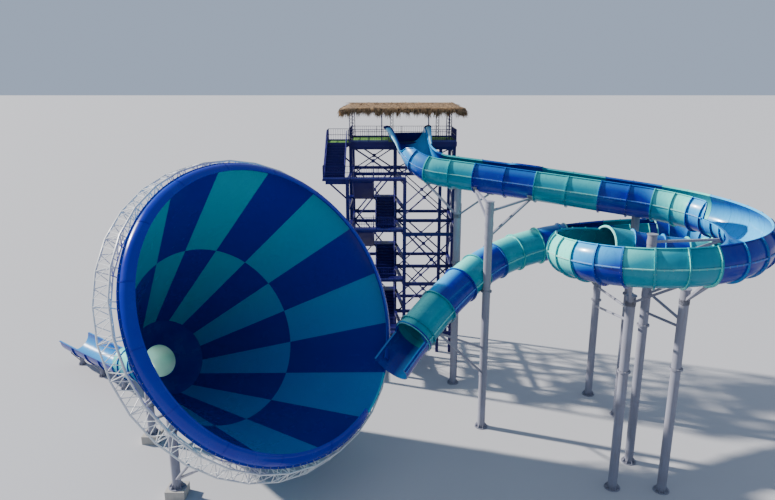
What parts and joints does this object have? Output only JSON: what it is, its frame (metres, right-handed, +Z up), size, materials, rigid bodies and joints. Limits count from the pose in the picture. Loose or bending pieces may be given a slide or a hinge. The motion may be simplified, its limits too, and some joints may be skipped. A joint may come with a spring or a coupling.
{
  "type": "1:2 scale model of a water slide tower",
  "caption": "Water slide tower with a looping half-open flume, a closed drop tube into a giant tilted funnel, and a runout, on steel columns.",
  "frame": {"origin": "centre of the bounding box at ground level", "axes": "+X along the tower's front from the runout to the flume's loop, +Y from the open side of the funnel to the back of the tower, +Z up"},
  "size_m": [27.5976, 16.862, 11.65],
  "materials": {
    "teal_shell": "glossy gel-coated fibreglass",
    "blue_shell": "glossy gel-coated fibreglass",
    "navy_steel": "satin paint on steel",
    "grey_steel": "satin paint on steel, weathered",
    "white_steel": "galvanised and painted steel",
    "green_floor": "short green matting on a steel deck",
    "straw": "dry thatch with a shaggy fringe"
  },
  "bodies": {
    "root": {"launch_tub": "blue_shell", "launch_bend": "blue_shell", "upper_run": "teal_shell", "right_turn": "blue_shell", "front_run": "teal_shell", "left_turn": "teal_shell", "return_bend": "teal_shell", "return_run": "blue_shell", "dive_tube": "blue_shell", "drop_tube": "teal_shell", "entry_trough": "blue_shell", "funnel_outer_row_1": "teal_shell", "funnel_outer_row_2": "blue_shell", "funnel_outer_row_3": "teal_shell", "funnel_outer_row_4": "blue_shell", "funnel_inner_row_1": "blue_shell", "funnel_inner_row_2": "teal_shell", "funnel_lip_bottom": "blue_shell", "funnel_lip_left": "blue_shell", "funnel_lip_right": "blue_shell", "ring_truss_1": "white_steel", "ring_truss_2": "white_steel", "ring_truss_3": "white_steel", "ring_truss_4": "white_steel", "throat_collar": "blue_shell", "runout_pipe": "teal_shell", "runout_trough": "blue_shell", "runout_supports": "grey_steel", "left_funnel_support": "grey_steel", "right_funnel_support": "grey_steel", "throat_support": "grey_steel", "launch_column": "grey_steel", "tall_column": "grey_steel", "loop_column_front": "grey_steel", "loop_column_right": "grey_steel", "loop_column_middle": "grey_steel", "upper_run_column": "grey_steel", "return_run_column": "grey_steel", "left_frame": "navy_steel", "stair_frame": "navy_steel", "right_frame": "navy_steel", "front_bracing": "navy_steel", "middle_left_bracing": "navy_steel", "middle_right_bracing": "navy_steel", "back_left_bracing": "navy_steel", "back_right_bracing": "navy_steel", "up_flight_1": "navy_steel", "up_flight_2": "navy_steel", "up_flight_3": "navy_steel", "up_flight_4": "navy_steel", "back_flight_1": "navy_steel", "back_flight_2": "navy_steel", "back_flight_3": "navy_steel", "back_flight_4": "navy_steel", "top_flight": "navy_steel", "top_deck": "green_floor", "deck_railing": "navy_steel", "front_railing": "navy_steel", "roof_frame": "navy_steel", "thatch": "straw"}
  },
  "joints": []
}
